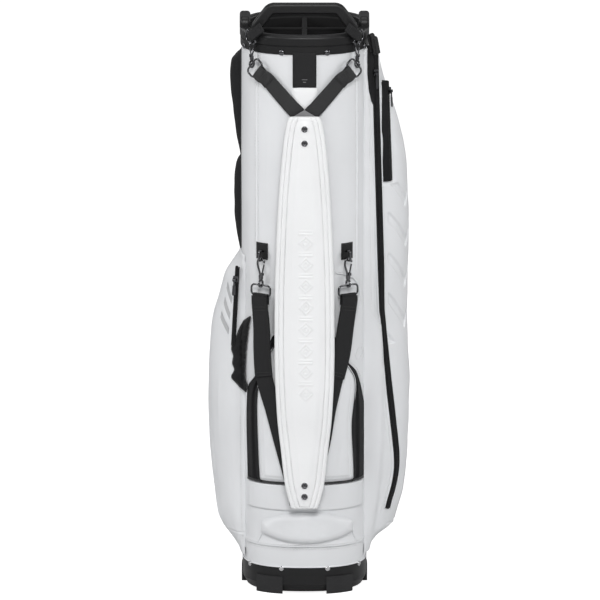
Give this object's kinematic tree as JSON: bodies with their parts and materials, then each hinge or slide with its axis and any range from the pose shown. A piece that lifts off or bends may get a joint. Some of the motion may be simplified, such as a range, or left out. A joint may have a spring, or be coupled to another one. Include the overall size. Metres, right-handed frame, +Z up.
{
  "type": "golf staff bag",
  "caption": "Tall squared-oval golf bag: stiff white leather tube on a black moulded base, black cuff with grips, zipped side pockets and a clip-on padded shoulder strap.",
  "frame": {"origin": "on the ground under the centre of the base, on the middle pad's underside", "axes": "+Z up along the tube, -Y towards the front where the strap hangs, +X towards the large side pocket (right in the front view)"},
  "size_m": [0.3206, 0.2943, 0.9605],
  "materials": {
    "white_leather": "pebbled white synthetic leather",
    "strap_leather": "smooth white synthetic leather",
    "black_moulding": "satin black moulded plastic",
    "black_rubber": "matt black rubber",
    "black_webbing": "woven black nylon webbing",
    "black_fabric": "black mesh and padded fabric",
    "dark_metal": "polished black-nickel zinc casting",
    "bright_metal": "polished nickel",
    "stay": "plain aluminium rod"
  },
  "bodies": {
    "right_slider": {"right_slider": "dark_metal"},
    "right_puller": {"right_puller": "dark_metal"},
    "right_upper_slider": {"right_upper_slider": "dark_metal"},
    "right_upper_puller": {"right_upper_puller": "dark_metal"},
    "left_slider": {"left_slider": "dark_metal"},
    "left_puller": {"left_puller": "dark_metal"},
    "ball_slider": {"ball_slider": "dark_metal"},
    "ball_puller": {"ball_puller": "dark_metal"},
    "strap": {"strap_pad": "strap_leather", "strap_lining": "black_fabric", "strap_rivets": "bright_metal", "upper_webs": "black_webbing", "upper_d_rings": "dark_metal", "upper_swivels": "dark_metal", "lower_webs": "black_webbing"},
    "upper_left_hook": {"upper_left_hook": "dark_metal"},
    "upper_left_gate": {"upper_left_gate": "dark_metal"},
    "lower_left_hook": {"lower_left_hook": "dark_metal"},
    "lower_left_gate": {"lower_left_gate": "dark_metal"},
    "upper_right_hook": {"upper_right_hook": "dark_metal"},
    "upper_right_gate": {"upper_right_gate": "dark_metal"},
    "lower_right_hook": {"lower_right_hook": "dark_metal"},
    "lower_right_gate": {"lower_right_gate": "dark_metal"},
    "bag": {"back_ball_pocket": "white_leather", "back_upper_pocket": "white_leather", "ball_zip": "black_fabric", "base_collar": "black_moulding", "base_feet": "black_rubber", "base_rivets": "bright_metal", "base_shell": "black_moulding", "body_shell": "white_leather", "bottle_sleeve": "black_fabric", "centre_leather_tab": "strap_leather", "centre_web_tab": "black_webbing", "cuff_anchor_loops": "black_webbing", "cuff_d_rings": "dark_metal", "cuff_ring": "black_moulding", "cuff_screws": "dark_metal", "divider_frame": "black_moulding", "divider_panels": "black_fabric", "front_grip": "black_moulding", "front_gussets": "black_fabric", "front_pocket": "white_leather", "left_middle_pocket": "white_leather", "left_pocket": "white_leather", "left_upper_pocket": "white_leather", "left_zip": "black_fabric", "lift_handle": "white_leather", "lower_band": "white_leather", "lower_d_rings": "dark_metal", "lower_swivels": "dark_metal", "lower_web_loops": "black_webbing", "mid_anchor_rings": "dark_metal", "mid_anchor_tabs": "black_webbing", "right_pocket": "white_leather", "right_upper_zip": "black_fabric", "right_zip": "black_fabric", "side_grips": "black_moulding", "spine_stays": "stay"}
  },
  "joints": [
    {"name": "right_slider_run", "type": "slide", "parent": "bag", "child": "right_slider", "axis": [0.0281, -0.0097, -0.9996], "range_m": [0, 0.38]},
    {"name": "right_puller_lift", "type": "hinge", "parent": "right_slider", "child": "right_puller", "pos_m": [0.11533, -0.04475, 0.83915], "axis": [-0.9078, -0.419, -0.0214], "range_deg": [0, 150]},
    {"name": "right_upper_slider_run", "type": "slide", "parent": "bag", "child": "right_upper_slider", "axis": [0.035, -0.1208, -0.9921], "range_m": [0, 0.115]},
    {"name": "right_upper_puller_lift", "type": "hinge", "parent": "right_upper_slider", "child": "right_upper_puller", "pos_m": [0.13876, -0.0124, 0.80363], "axis": [-0.3678, -0.9245, 0.0996], "range_deg": [0, 150]},
    {"name": "left_slider_run", "type": "slide", "parent": "bag", "child": "left_slider", "axis": [-0.0536, -0.0233, -0.9983], "range_m": [0, 0.078]},
    {"name": "left_puller_lift", "type": "hinge", "parent": "left_slider", "child": "left_puller", "pos_m": [-0.11205, -0.05264, 0.50336], "axis": [-0.8332, 0.5521, 0.0319], "range_deg": [0, 150]},
    {"name": "ball_slider_run", "type": "slide", "parent": "bag", "child": "ball_slider", "axis": [-0.0058, 0.0118, -0.9999], "range_m": [0, 0.105]},
    {"name": "ball_puller_lift", "type": "hinge", "parent": "ball_slider", "child": "ball_puller", "pos_m": [-0.06726, 0.12864, 0.29707], "axis": [0.4392, 0.8984, 0.0081], "range_deg": [0, 150]},
    {"name": "strap_swing", "type": "hinge", "parent": "bag", "child": "strap", "pos_m": [0, -0.086, 0.897], "axis": [-1, 0, 0], "range_deg": [0, 10]},
    {"name": "upper_left_hook_swivel", "type": "hinge", "parent": "strap", "child": "upper_left_hook", "pos_m": [-0.084, -0.086, 0.8682], "axis": [0, 0, 1], "range_deg": [-25, 25]},
    {"name": "upper_left_gate_open", "type": "hinge", "parent": "upper_left_hook", "child": "upper_left_gate", "pos_m": [-0.08527, -0.08765, 0.87812], "axis": [-0.7915, 0.6112, 0], "range_deg": [0, 20]},
    {"name": "lower_left_hook_swivel", "type": "hinge", "parent": "bag", "child": "lower_left_hook", "pos_m": [-0.0697, -0.0979, 0.5126], "axis": [0, 0, 1], "range_deg": [-25, 25]},
    {"name": "lower_left_gate_open", "type": "hinge", "parent": "lower_left_hook", "child": "lower_left_gate", "pos_m": [-0.06775, -0.0992, 0.52376], "axis": [-0.5549, -0.8319, 0], "range_deg": [0, 20]},
    {"name": "upper_right_hook_swivel", "type": "hinge", "parent": "strap", "child": "upper_right_hook", "pos_m": [0.084, -0.086, 0.8682], "axis": [0, 0, 1], "range_deg": [-25, 25]},
    {"name": "upper_right_gate_open", "type": "hinge", "parent": "upper_right_hook", "child": "upper_right_gate", "pos_m": [0.08527, -0.08765, 0.87812], "axis": [-0.7915, -0.6112, 0], "range_deg": [0, 20]},
    {"name": "lower_right_hook_swivel", "type": "hinge", "parent": "bag", "child": "lower_right_hook", "pos_m": [0.0697, -0.0979, 0.5126], "axis": [0, 0, 1], "range_deg": [-25, 25]},
    {"name": "lower_right_gate_open", "type": "hinge", "parent": "lower_right_hook", "child": "lower_right_gate", "pos_m": [0.07165, -0.0966, 0.52376], "axis": [0.5549, -0.8319, 0], "range_deg": [0, 20]}
  ]
}
